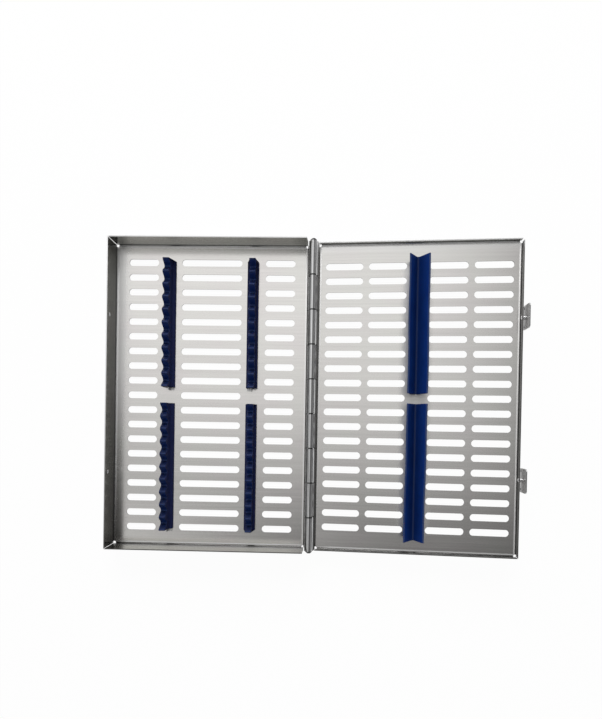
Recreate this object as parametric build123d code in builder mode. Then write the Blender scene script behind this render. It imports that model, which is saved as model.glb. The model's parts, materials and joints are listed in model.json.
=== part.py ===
"""Dental instrument cassette: a perforated folded-sheet base and lid on a piano hinge,
with silicone instrument rails, silicone hold-down bars and two turning latches.

The frame has +Z up and its origin at the centre of the base's underside. The hinge runs
along Y on the +X side. The lid stands open at its stop. All sizes are in millimetres.
"""
import os
from math import cos, radians, sin

from build123d import *

# --- base tray and lid -------------------------------------------------------------
tray_length = 285.0        # along the hinge
tray_width = 183.0         # across the hinge
base_depth = 24.0          # height of the base's walls outside
lid_depth = 6.5            # height of the lid's walls outside
sheet = 0.9                # steel sheet of both trays
fold_radius = 1.5          # outside radius of the folds between floor and walls
rim_gap = 0.3              # between the two rims when the lid is shut

# --- open seams and relief holes at the folded corners -----------------------------
seam_width = 0.4           # between two walls that meet at a corner
wide_seam_width = 1.7      # the lid's rear free corner, where the walls stand apart
relief_radius = 1.6        # round relief hole at the foot of each seam
relief_inset = 1.1         # from a wall's outer face to the middle of the relief hole
relief_height = 2.4        # how far the relief opening climbs the walls
hinge_wall_cut = 9.0       # the base's hinge wall is this much shorter at its rim, each end
end_wall_cut = 1.8         # the base's end walls are this much shorter at their rims

# --- slots through the floors ------------------------------------------------------
round_sides = 12           # a slot's or seat's round end is half of a polygon of so many sides
slot_rows = 19
slot_width = 6.3
base_slot_pitch = 13.94
base_middle_slot = 57.0    # lengths, end to end
base_side_slot = 28.0
base_side_column = 64.8    # from the middle of the base to the side columns
lid_slot_pitch = 13.46
lid_slot = 34.5
lid_inner_column = 27.5    # from the middle of the lid to its columns
lid_outer_column = 67.3

# --- piano hinge -------------------------------------------------------------------
axis_height = 17.5         # hinge axis above the base's underside
axis_reach = 4.1           # hinge axis out from the base's hinge wall
hinge_play = 0.15          # the shut lid's leaf stands this far off the base's wall
open_tilt = 4.5            # the open lid's free edge stands up by this angle, degrees
pin_radius = 2.1
pin_clearance = 0.05       # radial, between the pin and every knuckle
leaf_sheet = 0.9
knuckle_count = 9
knuckle_gap = 0.3          # between neighbouring knuckles
barrel_margin = 0.5        # from each end of the trays to the end of the barrel
pin_head_radius = 2.9      # bevelled ends of the pin, beyond the barrel
pin_head_height = 1.2
curl_sweep = 305.0         # how far each knuckle is rolled round the pin, degrees
joggle_angle = 35.0        # slope of the bend that brings a leaf out to its knuckles
leaf_notch = 3.6           # from the axis to the edge of a leaf between its knuckles
base_leaf_foot = 4.0       # lower edge of the base's leaf above the underside
lid_leaf_margin = 1.7      # from the lid's outer face to the far edge of its leaf
leaf_clip = 3.0            # clipped corners of the leaves

# --- silicone instrument rails on the base -----------------------------------------
rail_column = 39.0         # from the middle of the base to the middle of a rail
rail_length = 119.0
rail_gap = 15.0            # between the two rails of a column
rail_height = 13.5
rail_top_width = 6.6
rail_flange_width = 10.5
rail_flange_height = 3.0
seat_count = 10            # notches in each rail
seat_pitch = 11.8
seat_radius = 3.3
seat_depth = 6.6
fit_clearance = 0.1        # silicone round its bracket

# --- folded brackets that carry the silicone ---------------------------------------
bracket_sheet = 0.8
rail_bracket_foot = 4.6    # width of the foot that is spot-welded to the floor
rail_bracket_height = 4.9
rail_bracket_overhang = 2.6    # how far it shows past the rail's front end
rail_bracket_short = 3.0       # how far it stops short of the rail's rear end
bar_bracket_foot = 3.4
bar_bracket_height = 2.9
bar_bracket_overhang = 1.2     # how far it shows past the bar's front end
bar_bracket_short = 3.0        # how far it stops short of the bar's rear end

# --- silicone hold-down bars in the lid --------------------------------------------
bar_length = 124.0
bar_gap = 9.0              # between the two bars
bar_off_middle = 1.1       # from the lid's middle to the bars' middle, towards the hinge
bar_off_centre = 1.0       # from the lid's middle to the gap between the bars, forwards
bar_height = 16.5          # wing tips above the lid's floor
bar_valley = 4.2           # bottom of the valley above the lid's floor
bar_span = 18.8            # across the wing tips
bar_stem_width = 9.0
bar_shoulder = 5.2         # where the wings leave the stem's sides, above the lid's floor
wing_tip = 1.4             # width of a wing's edge

# --- turning latches and their catch studs -----------------------------------------
latch_spacing = 144.5      # between the two latches
latch_pivot_height = 2.0   # pivot above the lid's rim, measured on the shut lid
latch_length = 21.4
latch_below = 13.4         # plate below its pivot on the shut lid
latch_above = 4.0          # plate above its pivot on the shut lid
latch_sheet = 1.0
latch_corner = 2.6
latch_standoff = 1.4       # between the lid's wall and the plate
latch_catch_reach = 8.2    # pivot to the middle of a catch hole
catch_hole_radius = 1.45
rivet_radius = 1.2
rivet_clearance = 0.05
rivet_shoulder_radius = 1.9
rivet_head_radius = 2.3
rivet_head_height = 1.1
rivet_tail_radius = 1.8
rivet_tail_height = 0.7
stud_radius = 0.9
stud_clearance = 0.05
stud_tip_radius = 1.25     # drops into the latch's catch hole
stud_gap = 0.5             # from the stud's tip to the plate that turns over it
stud_head_radius = 1.8     # flat head inside the tray
stud_head_height = 0.6

# --- worked out from the above -----------------------------------------------------
axis_x = tray_width / 2 + axis_reach
lid_near = axis_reach - hinge_play                 # hinge axis to the lid's hinge wall
lid_rim = -(base_depth - axis_height + rim_gap)    # open lid's rim, below the axis
lid_back = lid_rim - lid_depth                     # open lid's outer face, below the axis
stud_tip_height = latch_standoff - stud_gap
knuckle_bore = pin_radius + pin_clearance
barrel_length = tray_length - 2 * barrel_margin
knuckle_pitch = barrel_length / knuckle_count
tilt = radians(open_tilt)

corners = [(sx, sy) for sx in (-1, 1) for sy in (-1, 1)]
ends = {"rear": 1, "front": -1}
sides = {"left": -1, "right": 1}


def shifted(plane, x, y, z):
    """The plane moved by x, y and z along its own directions."""
    return Plane(origin=plane.from_local_coords((x, y, z)), x_dir=plane.x_dir, z_dir=plane.z_dir)


# the open lid's own frame: x away from the hinge axis, y along it, z out of the lid
lid_frame = Plane(origin=(axis_x, 0, axis_height), x_dir=(cos(tilt), 0, sin(tilt)),
                  z_dir=(-sin(tilt), 0, cos(tilt)))
lid_outside = shifted(lid_frame, lid_near + tray_width / 2, 0, lid_back)
lid_floor = lid_outside.offset(sheet)


def slot(length, width):
    """A slot along X. It repeats so often that its round ends are kept to few faces."""
    with BuildSketch() as outline:
        Rectangle(length - width, width)
        with GridLocations(length - width, 1, 2, 1):
            RegularPolygon(width / 2, round_sides, major_radius=False, rotation=180 / round_sides)
    return outline.sketch


def folded_tray(plane, depth, columns, slot_pitch, wide_corner=None):
    """A tray folded from sheet, open towards the plane's +Z, with slots in columns."""
    with BuildSketch(plane) as outline:
        Rectangle(tray_width, tray_length)
    block = extrude(outline.sketch, amount=depth)
    up = Axis(plane.origin, plane.z_dir)
    fillet(block.faces().sort_by(up)[0].edges(), fold_radius)
    offset(amount=-sheet, openings=faces().sort_by(up)[-1])
    slots = [(column_x, slot(slot_length, slot_width)) for column_x, slot_length in columns]
    with BuildSketch(plane) as openings:
        for column_x, shape in slots:
            with Locations((column_x, 0)):
                with GridLocations(1, slot_pitch, 1, slot_rows):
                    add(shape)
        with GridLocations(tray_width - 2 * relief_inset, tray_length - 2 * relief_inset, 2, 2):
            Circle(relief_radius)
    extrude(openings.sketch, amount=relief_height, mode=Mode.SUBTRACT)
    with BuildSketch(plane.offset(relief_height / 2)) as seams:
        for sx, sy in corners:
            width = wide_seam_width if (sx, sy) == wide_corner else seam_width
            with Locations((sx * (tray_width - sheet) / 2, sy * (tray_length - sheet) / 2)):
                Rectangle(3 * sheet, width, rotation=45 * sx * sy)
    extrude(seams.sketch, amount=depth, mode=Mode.SUBTRACT)


# --- the base: tray, catch studs and hinge leaf ------------------------------------
catch_height = axis_height - lid_rim + latch_pivot_height - latch_catch_reach
catch_wall = Plane(origin=(-tray_width / 2, 0, catch_height), x_dir=(0, 1, 0), z_dir=(-1, 0, 0))

with BuildPart() as base_tray:
    folded_tray(Plane.XY, base_depth,
                [(-base_side_column, base_side_slot), (0, base_middle_slot),
                 (base_side_column, base_side_slot)], base_slot_pitch)
    # both ends of the hinge wall slope in towards the rim
    with BuildSketch(Plane.YZ.offset(tray_width / 2)):
        for sy in ends.values():
            with BuildLine():
                Polyline((sy * (tray_length / 2 + sheet), relief_height),
                         (sy * tray_length / 2, relief_height),
                         (sy * (tray_length / 2 - hinge_wall_cut), base_depth),
                         (sy * (tray_length / 2 + sheet), base_depth), close=True)
            make_face()
    extrude(amount=-sheet, mode=Mode.SUBTRACT)
    # the end walls slope in towards the rim beside the hinge
    with BuildSketch(Plane.XZ):
        with BuildLine():
            Polyline((tray_width / 2, relief_height),
                     (tray_width / 2 - end_wall_cut, base_depth),
                     (tray_width / 2, base_depth), close=True)
        make_face()
    extrude(amount=tray_length, both=True, mode=Mode.SUBTRACT)
    # holes for the catch studs
    with BuildSketch(catch_wall):
        with GridLocations(latch_spacing, 1, 2, 1):
            Circle(stud_radius + stud_clearance)
    extrude(amount=-sheet, mode=Mode.SUBTRACT)
base_tray.part.label = "base_tray"


def turned_piece(plane, outline):
    """A piece turned about the plane's X axis from an outline that starts and ends on it."""
    with BuildSketch(plane) as half_section:
        with BuildLine():
            Polyline(*outline, close=True)
        make_face()
    revolve(half_section.sketch, axis=Axis(plane.origin, plane.x_dir))


catch_studs = {}
for end, sy in ends.items():
    stud_plane = Plane(origin=(-tray_width / 2, sy * latch_spacing / 2, catch_height),
                       x_dir=(-1, 0, 0), z_dir=(0, 1, 0))
    with BuildPart() as stud:
        turned_piece(stud_plane,
                     [(-sheet - stud_head_height, 0),
                      (-sheet - stud_head_height, stud_head_radius),
                      (-sheet, stud_head_radius), (-sheet, stud_radius), (0, stud_radius),
                      (0, stud_tip_radius), (stud_tip_height, stud_tip_radius),
                      (stud_tip_height, 0)])
    stud.part.label = f"catch_stud_{end}"
    catch_studs[end] = stud


def knuckle_centres(first):
    """Middles of every second knuckle along the barrel, counted from its front end."""
    return [(i - (knuckle_count - 1) / 2) * knuckle_pitch for i in range(first, knuckle_count, 2)]


def hinge_leaf(plane, wall, foot, first):
    """Half of the piano hinge: a flat leaf on a wall and its rolled knuckles.

    The plane holds the hinge's section, with the axis at its origin, the wall's outer face
    at x = wall and the leaf below the axis.
    """
    curl_radius = knuckle_bore + leaf_sheet / 2
    leaf_middle = wall - leaf_sheet / 2
    joggle_radius = (leaf_middle - curl_radius) / (2 * (1 - cos(radians(joggle_angle))))
    joggle_height = 2 * joggle_radius * sin(radians(joggle_angle))
    # the flat leaf, in the plane of the wall
    leaf_plane = Plane(origin=plane.from_local_coords((wall - leaf_sheet, 0, 0)),
                       x_dir=plane.z_dir, z_dir=plane.x_dir)
    turned = leaf_plane.y_dir.dot(plane.y_dir)
    with BuildSketch(leaf_plane) as flat_leaf:
        with Locations((0, -turned * (leaf_notch + foot) / 2)):
            flat = Rectangle(barrel_length, foot - leaf_notch)
        chamfer(flat.vertices().group_by(Axis.Y)[0 if turned > 0 else -1], leaf_clip)
    extrude(flat_leaf.sketch, amount=leaf_sheet)
    # the knuckles, each rolled from the leaf's own sheet
    for centre in knuckle_centres(first):
        with BuildSketch(shifted(plane, 0, 0, centre)) as roll:
            with BuildLine():
                rise = Line((leaf_middle, -leaf_notch - leaf_sheet), (leaf_middle, -joggle_height))
                bend = JernArc(rise @ 1, rise % 1, joggle_radius, joggle_angle)
                back = JernArc(bend @ 1, bend % 1, joggle_radius, -joggle_angle)
                JernArc(back @ 1, back % 1, curl_radius, curl_sweep)
            trace(line_width=leaf_sheet)
        extrude(roll.sketch, amount=(knuckle_pitch - knuckle_gap) / 2, both=True)


with BuildPart() as hinge_leaf_base:
    hinge_leaf(Plane(origin=(axis_x, 0, axis_height), x_dir=(-1, 0, 0), z_dir=(0, 1, 0)),
               axis_reach, axis_height - base_leaf_foot, 0)
hinge_leaf_base.part.label = "hinge_leaf_base"

with BuildPart() as hinge_leaf_lid:
    hinge_leaf(Plane(origin=lid_frame.origin, x_dir=lid_frame.x_dir, z_dir=(0, -1, 0)),
               lid_near, -lid_back - lid_leaf_margin, 1)
hinge_leaf_lid.part.label = "hinge_leaf_lid"

half_barrel = barrel_length / 2 + pin_clearance
with BuildPart() as hinge_pin:
    turned_piece(Plane(origin=(axis_x, 0, axis_height), x_dir=(0, 1, 0), z_dir=(1, 0, 0)),
                 [(0, 0), (0, pin_radius), (half_barrel, pin_radius),
                  (half_barrel, pin_head_radius),
                  (half_barrel + pin_head_height, pin_head_radius - pin_head_height),
                  (half_barrel + pin_head_height, 0)])
    mirror(about=Plane.XZ)
hinge_pin.part.label = "hinge_pin"


# --- the lid: panel, latches and their rivets --------------------------------------
latch_pivot = shifted(lid_frame, lid_near + tray_width, 0, lid_rim - latch_pivot_height)
latch_wall = Plane(origin=latch_pivot.origin, x_dir=(0, 1, 0), z_dir=lid_frame.x_dir)

with BuildPart() as lid_panel:
    folded_tray(lid_outside, lid_depth,
                [(sx * column, lid_slot) for column in (lid_inner_column, lid_outer_column)
                 for sx in (-1, 1)], lid_slot_pitch, wide_corner=(1, 1))
    with BuildSketch(latch_wall):
        with GridLocations(latch_spacing, 1, 2, 1):
            Circle(rivet_radius + rivet_clearance)
    extrude(amount=-sheet, mode=Mode.SUBTRACT)
lid_panel.part.label = "lid_panel"

latch_plates = {}
latch_rivets = {}
for end, sy in ends.items():
    pivot = shifted(latch_wall, sy * latch_spacing / 2, 0, 0)
    with BuildPart() as plate:
        with BuildSketch(pivot.offset(latch_standoff)):
            with Locations((0, (latch_below - latch_above) / 2)):
                RectangleRounded(latch_length, latch_below + latch_above, latch_corner)
            Circle(rivet_radius + rivet_clearance, mode=Mode.SUBTRACT)
            with GridLocations(2 * latch_catch_reach, 1, 2, 1):
                Circle(catch_hole_radius, mode=Mode.SUBTRACT)
        extrude(amount=latch_sheet)
    plate.part.label = f"latch_plate_{end}"
    latch_plates[end] = plate

    head_start = latch_standoff + latch_sheet + rivet_clearance
    shoulder_end = latch_standoff - rivet_clearance
    with BuildPart() as rivet:
        turned_piece(Plane(origin=pivot.origin, x_dir=pivot.z_dir, z_dir=(0, 1, 0)),
                     [(-sheet - rivet_tail_height, 0),
                      (-sheet - rivet_tail_height, rivet_tail_radius),
                      (-sheet, rivet_tail_radius), (-sheet, rivet_radius), (0, rivet_radius),
                      (0, rivet_shoulder_radius), (shoulder_end, rivet_shoulder_radius),
                      (shoulder_end, rivet_radius), (head_start, rivet_radius),
                      (head_start, rivet_head_radius),
                      (head_start + rivet_head_height, rivet_head_radius),
                      (head_start + rivet_head_height, 0)])
    rivet.part.label = f"latch_rivet_{end}"
    latch_rivets[end] = rivet


# --- brackets folded from strip, and the silicone pushed on to them ----------------
def bracket(plane, foot, height, length):
    """An L-shaped strip: its web stands on the plane's Y axis, its foot lies towards +X."""
    section = Plane(origin=plane.origin, x_dir=plane.x_dir, z_dir=-plane.y_dir)
    with BuildSketch(section) as profile:
        with BuildLine():
            Polyline((-bracket_sheet / 2, 0), (foot - bracket_sheet / 2, 0),
                     (foot - bracket_sheet / 2, bracket_sheet), (bracket_sheet / 2, bracket_sheet),
                     (bracket_sheet / 2, height), (-bracket_sheet / 2, height), close=True)
        make_face()
    extrude(profile.sketch, amount=length / 2, both=True)


def bracket_pocket(plane, foot, height, length):
    """Clear a push-on slot for a bracket through a silicone strip."""
    wide = bracket_sheet / 2 + fit_clearance
    section = Plane(origin=plane.origin, x_dir=plane.x_dir, z_dir=-plane.y_dir)
    with BuildSketch(section) as profile:
        with BuildLine():
            Polyline((-wide, 0), (foot - bracket_sheet / 2 + fit_clearance, 0),
                     (foot - bracket_sheet / 2 + fit_clearance, bracket_sheet + fit_clearance),
                     (wide, bracket_sheet + fit_clearance), (wide, height + fit_clearance),
                     (-wide, height + fit_clearance), close=True)
        make_face()
    extrude(profile.sketch, amount=length, both=True, mode=Mode.SUBTRACT)


seat = slot(2 * seat_depth, 2 * seat_radius)
rail_brackets = {}
instrument_rails = {}
for end, sy in ends.items():
    for side, sx in sides.items():
        middle = sy * (rail_gap + rail_length) / 2
        seat_plane = Plane(origin=(sx * rail_column, middle, sheet), x_dir=(-sx, 0, 0),
                           z_dir=(0, 0, 1))
        bracket_middle = middle - (rail_bracket_overhang + rail_bracket_short) / 2
        with BuildPart() as strip:
            bracket(Plane(origin=(sx * rail_column, bracket_middle, sheet),
                          x_dir=(-sx, 0, 0), z_dir=(0, 0, 1)),
                    rail_bracket_foot, rail_bracket_height,
                    rail_length + rail_bracket_overhang - rail_bracket_short)
        strip.part.label = f"rail_bracket_{end}_{side}"
        rail_brackets[end, side] = strip

        with BuildPart() as rail:
            # flange on the floor
            with BuildSketch(seat_plane):
                Rectangle(rail_flange_width, rail_length)
            extrude(amount=rail_flange_height)
            # the comb's outline, seen along the instruments
            with BuildSketch(Plane(origin=(sx * rail_column, middle, sheet), x_dir=(0, 1, 0),
                                   z_dir=(1, 0, 0))):
                with Locations((0, rail_height / 2)):
                    Rectangle(rail_length, rail_height)
                with Locations((0, rail_height)):
                    with GridLocations(seat_pitch, 1, seat_count, 1):
                        add(seat, rotation=90, mode=Mode.SUBTRACT)
            extrude(amount=rail_top_width / 2, both=True)
            bracket_pocket(seat_plane, rail_bracket_foot, rail_bracket_height, rail_length)
        rail.part.label = f"instrument_rail_{end}_{side}"
        instrument_rails[end, side] = rail

bar_brackets = {}
holddown_bars = {}
for end, sy in ends.items():
    seat_plane = shifted(lid_floor, -bar_off_middle,
                         sy * (bar_gap + bar_length) / 2 - bar_off_centre, 0)
    with BuildPart() as strip:
        bracket(shifted(seat_plane, 0, -(bar_bracket_overhang + bar_bracket_short) / 2, 0),
                bar_bracket_foot, bar_bracket_height,
                bar_length + bar_bracket_overhang - bar_bracket_short)
    strip.part.label = f"holddown_bracket_{end}"
    bar_brackets[end] = strip

    with BuildPart() as bar:
        with BuildSketch(Plane(origin=seat_plane.origin, x_dir=seat_plane.x_dir,
                               z_dir=-seat_plane.y_dir)):
            with BuildLine():
                Polyline((0, 0), (bar_stem_width / 2, 0), (bar_stem_width / 2, bar_shoulder),
                         (bar_span / 2, bar_height), (bar_span / 2 - wing_tip, bar_height),
                         (0, bar_valley), close=True)
            make_face()
            mirror(about=Plane.YZ)
        extrude(amount=bar_length / 2, both=True)
        bracket_pocket(seat_plane, bar_bracket_foot, bar_bracket_height, bar_length)
    bar.part.label = f"holddown_bar_{end}"
    holddown_bars[end] = bar


# --- written pieces ----------------------------------------------------------------
pieces = [base_tray, hinge_leaf_base, hinge_leaf_lid, hinge_pin, lid_panel]
for group in (catch_studs, latch_plates, latch_rivets, rail_brackets, instrument_rails,
              bar_brackets, holddown_bars):
    pieces.extend(group.values())

os.makedirs("parts", exist_ok=True)
for piece in pieces:
    export_step(piece.part, f"parts/{piece.part.label}.step")
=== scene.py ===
"""Dental instrument cassette: finishes, silicone parts, small hardware, floor, light and camera.

Sizes are in metres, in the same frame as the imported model: +Z up, +Y along the hinge towards
the rear end, +X from the base towards the hinge and the open lid.
"""
import json
import random
from math import atan2, cos, pi, radians, sin, tan
from types import SimpleNamespace

import bmesh
import bpy
from mathutils import Matrix, Vector


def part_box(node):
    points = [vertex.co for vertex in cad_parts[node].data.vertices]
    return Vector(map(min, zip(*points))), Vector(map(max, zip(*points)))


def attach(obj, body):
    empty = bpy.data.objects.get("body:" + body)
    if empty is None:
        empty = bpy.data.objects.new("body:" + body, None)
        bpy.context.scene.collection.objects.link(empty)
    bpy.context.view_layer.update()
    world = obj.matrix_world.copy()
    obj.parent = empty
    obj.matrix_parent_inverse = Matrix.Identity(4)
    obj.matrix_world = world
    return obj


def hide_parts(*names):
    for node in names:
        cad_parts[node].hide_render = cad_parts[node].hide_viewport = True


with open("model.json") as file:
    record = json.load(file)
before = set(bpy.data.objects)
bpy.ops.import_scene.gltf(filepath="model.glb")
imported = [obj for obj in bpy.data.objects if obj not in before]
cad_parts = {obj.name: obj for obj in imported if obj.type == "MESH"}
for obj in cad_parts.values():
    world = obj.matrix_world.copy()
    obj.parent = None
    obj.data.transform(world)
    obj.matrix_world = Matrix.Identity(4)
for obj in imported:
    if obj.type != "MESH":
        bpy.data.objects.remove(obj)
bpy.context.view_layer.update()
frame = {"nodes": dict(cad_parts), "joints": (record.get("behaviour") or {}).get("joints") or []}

MM = 0.001
ENDS = ("rear", "front")
SIDES = ("left", "right")

# --- where the trays and the hinge stand ----------------------------------------------
HINGE = Vector(frame["joints"][0]["pos_m"])
BARREL_LENGTH = 284.0 * MM       # of the hinge
KNUCKLES = 9
SHEET = 0.9 * MM
BASE_RIM = 24.0 * MM
TRAY_HALF_WIDTH = 90.6 * MM      # middle of a tray to the inner faces of its walls
TRAY_HALF_LENGTH = 141.6 * MM

# --- the open lid, measured from the hinge axis and below it, in the lid's own frame --
LID_TILT = radians(4.5)          # the lid's free edge stands up by this angle
LID_MIDDLE_FROM_AXIS = 95.45 * MM
LID_WALL_FROM_AXIS = 186.95 * MM     # to the outer face of the free wall
BAR_FROM_AXIS = 94.35 * MM       # to the middle of the hold-down bars
LID_RIM_BELOW_AXIS = 6.8 * MM
LATCH_BELOW_AXIS = 8.8 * MM      # the latches' pivots
LID_FLOOR_BELOW_AXIS = 12.4 * MM
# where the axis, the bars' middle and the lid's floor lie once all is turned by the tilt
AXIS_ACROSS = HINGE.x * cos(LID_TILT) + HINGE.z * sin(LID_TILT)
AXIS_UP = HINGE.z * cos(LID_TILT) - HINGE.x * sin(LID_TILT)
BAR_MIDDLE = AXIS_ACROSS + BAR_FROM_AXIS
LID_FLOOR = AXIS_UP - LID_FLOOR_BELOW_AXIS

# --- shading of the sheet -------------------------------------------------------------
# A tone multiplies the sheet's own colour. A pair of lengths says where a change starts and
# where it is complete.
SHEET_ROUGHNESS = 0.20
ROUGHNESS_PLAY = 0.03            # by brush lines, and by clouds
STREAK = 0.06                    # brush lines are this much lighter or darker
GRAIN_ALONG_X = (9.0, 600.0, 600.0)  # noise scales that draw the brush lines out
GRAIN_ALONG_Z = (600.0, 600.0, 9.0)
LINE_DEPTH = 0.02 * MM           # of the fine lines in steel
SHEET_HUES = ((0.35, (1.0, 0.990, 0.952)), (0.65, (1.0, 0.966, 0.948)))  # ramp stops
WALL_TINT = (0.985, 1.0, 0.95)
WALL_TONE = 0.74                 # painted shade of the side walls; the rear wall is painted lighter
WALL_LEAN = -0.28                # painted shade, added to the front wall's tone and taken off the rear wall's
CORNER = (2.0 * MM, 16.0 * MM)   # painted shade near the corners
CORNER_TONE = 0.6
FOOT = (2.5 * MM, 5.5 * MM)      # painted shade up to this height above the floor
FOOT_TONE = 0.22
# painted shade at the foot of the front wall
FRONT_FOOT = (7.0 * MM, 10.0 * MM)
FRONT_FOOT_TONE = 0.25
# painted shade, darker towards the bottom of every wall
LOWER_WALL = (0.0, 20.0 * MM)
LOWER_WALL_TONE = 0.8
LOWER_SIDE_TONE = 0.55           # painted shade of the side walls only, on top of the tone above
# painted shade on the sheared rims and on the slots' cut faces
CUT_EDGE_TONE = 0.2
SLOT_EDGE_TONE = 0.08
# where the shader finds the parts of a tray
SIDEWAYS = 0.7                   # X of the normals of side walls
UPRIGHT = 0.5                    # Z of the normals of walls is nearer 0 than this
REARWARD = 0.5                   # Y of the normals on the inside of the front wall
WALL_FACE = (-0.3 * MM, 1.2 * MM)    # distance from the inner faces of the walls
FLOOR_FACE = (-0.3 * MM, 1.0 * MM)   # height above the floor
SLOT_FACE = (-1.0 * MM, 0.0)         # the same, of the slots' cut faces
SLOTS_FROM_WALL = 2.0 * MM
RIM_FACE = (-0.2 * MM, 1.0 * MM)     # height above the rim

# --- folds between the floor and the walls, by the distance from the wall -------------
END_FOLD_SHIFT = 0.35 * MM       # the folds at the ends lie this much nearer the middle
GUTTER = (0.3 * MM, 0.7 * MM)    # painted shade, a dark line along the wall
GUTTER_TONE = 0.14
CREASE_START = (0.5 * MM, 0.9 * MM)  # a painted highlight beside the gutter
CREASE_END = (1.4 * MM, 2.1 * MM)
CREASE_HIGHLIGHT_COLOR = (1.0, 0.99, 0.98)
FRONT_CREASE_HIGHLIGHT = 0.80
SIDE_CREASE_LEAN = 0.12          # how far a crease's normal leans towards the tray's middle
END_CREASE_LEAN = 0.11

# --- duller strips of the floor, made paler by painted light --------------------------
LEFT_STRIP = (0.0, 14.0 * MM)    # beside the left wall
LEFT_STRIP_LIT = (-140.0 * MM, 20.0 * MM)    # along Y; the strip's painted light fades out towards the front
REAR_STRIP = (0.0, 9.0 * MM)     # beside the rear wall
# painted light: how much paler the rear strip is painted
REAR_STRIP_PALER = 0.6
REAR_STRIP_LEAN = 0.06
STRIP_LEVEL = 0.95               # the grey that both strips are painted towards, as painted light
PALER_PER_MATT = 4.0             # how much paler a left strip is painted, as painted light, and how much its normal leans, for each unit of its added roughness
LEAN_PER_MATT = 0.6              # is for each unit of its added roughness
HANDLED_STRIP = (9.0 * MM, 16.0 * MM)    # off the bars' middle
HANDLED_ENDS = (14.0 * MM, 26.0 * MM)    # from the end walls

# --- added roughness ------------------------------------------------------------------
EDGE_MATT = 0.25
CREASE_MATT = 0.22
REAR_MATT = 0.08
HANDLED_MATT = 0.25

# --- small steel parts ----------------------------------------------------------------
DRAWN_GRAIN = (1400.0, 60.0, 1400.0)     # noise scales of the drawn lines
DRAWN_TONES = ((0.2, 0.93), (0.8, 1.05))     # ramp positions, and tones of the lines there

# --- silicone -------------------------------------------------------------------------
MOULD_GRAIN = (700.0, 14.0, 700.0)
SKIN_DEPTH = 0.06 * MM           # of the skin's fine grain
SKIN_PLAY = 0.07                 # of its roughness, in patches

# --- hinge ----------------------------------------------------------------------------
CREST_FROM_AXIS = 0.95 * MM      # the painted highlight along the barrel lies this far towards the base
CREST = (0.45 * MM, 1.05 * MM)   # off the crest's middle
# painted shade beside the painted highlight
OFF_CREST_TONE = 0.35
OFF_CREST = (0.7 * MM, 2.0 * MM)
OFF_CREST_MATT = 0.28
LEAF_FROM_AXIS = 2.4 * MM        # a leaf shows beyond this distance, towards the base
# painted shade on the leaves
LEAF_TONE = 0.55
HALF_SEAM = 0.6 * MM
SEAM_TONE = 0.12

# --- instrument rails -----------------------------------------------------------------
RAIL_HALF_TOP = 3.0 * MM
RAIL_FLANGE = 3.0 * MM
COMB_ROUNDING = 0.55 * MM        # along the edges of the top
NECK_ROUNDING = 0.5 * MM         # where the comb stands on the flange
FLANGE_ROUNDING = 0.9 * MM
SEAT_COUNT = 10
SEAT_PITCH = 11.8 * MM
SEAT_DEPTH = 6.4 * MM
SEAT_STEPS = 20                  # facets of one wave
FIRST_CREST = 8.0 * MM           # from the base's middle to the first crest of each rail
RAIL_CHAMFER = 0.25 * MM         # at its ends
FOOT_ROUNDING = 0.2 * MM         # of rails and bars
POCKET_HALF = 0.5 * MM           # the slot that is pushed on to the bracket's web
POCKET_FOOT_HEIGHT = 0.9 * MM
RAIL_POCKET_HEIGHT = 5.0 * MM
RAIL_POCKET_FOOT = 4.3 * MM
RAIL_ROUND_STEPS = 4             # facets of a rounded corner
# a rail's section starts with a rounded corner and then the pocket's six corners, which
# stay upright on the bracket
POCKET_POINTS = range(RAIL_ROUND_STEPS + 1, RAIL_ROUND_STEPS + 7)
RAIL_KNEE = 6.5 * MM             # a leaning rail stands straight above this height
RAIL_LEAN = {"rear_left": -1.7 * MM, "front_left": -2.15 * MM,   # of the comb, towards +X
             "rear_right": 0.5 * MM, "front_right": 0.2 * MM}
RAIL_SWAY = 0.12 * MM
RAIL_SWAYS = 1.3                 # bends along a rail
RAIL_SLOPE = (-0.5, 0.6)         # Y of the normals of slopes that face the front and the rear
# painted light and shade: slopes that face the front are painted lighter, those facing the rear
# darker
RAIL_SLOPE_LEVELS = (1.15, 0.36)
RAIL_SIDEWAYS = 0.6              # X of the normals of the sides
FLANGE_MARGIN = 0.4 * MM         # all below this height above the flange has the sides' colour
RAIL_CREST = (0.6 * MM, 1.5 * MM)    # half the width of the painted highlight along a crest
# colour of the painted highlight on the crests
RAIL_CREST_COLOR = (0.011, 0.022, 0.078)
# a painted highlight along the seat bottoms
SEAT_BOTTOM = (0.4 * MM, 1.1 * MM)
SEAT_BOTTOM_COLOR = (0.022, 0.043, 0.145)
# painted shade on the sides and the flange
RAIL_SIDE_COLOR = (0.0085, 0.0125, 0.055)
PALE_TOOTH = (-62.5 * MM, -84.0 * MM)    # x and y of a tooth that is coloured paler and greener
PALE_TOOTH_ALONG = (1.5 * MM, 4.5 * MM)    # off that point
PALE_TOOTH_ACROSS = (-1.0 * MM, 2.0 * MM)
PALE_TOOTH_COLOR = (0.004, 0.075, 0.155)

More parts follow.
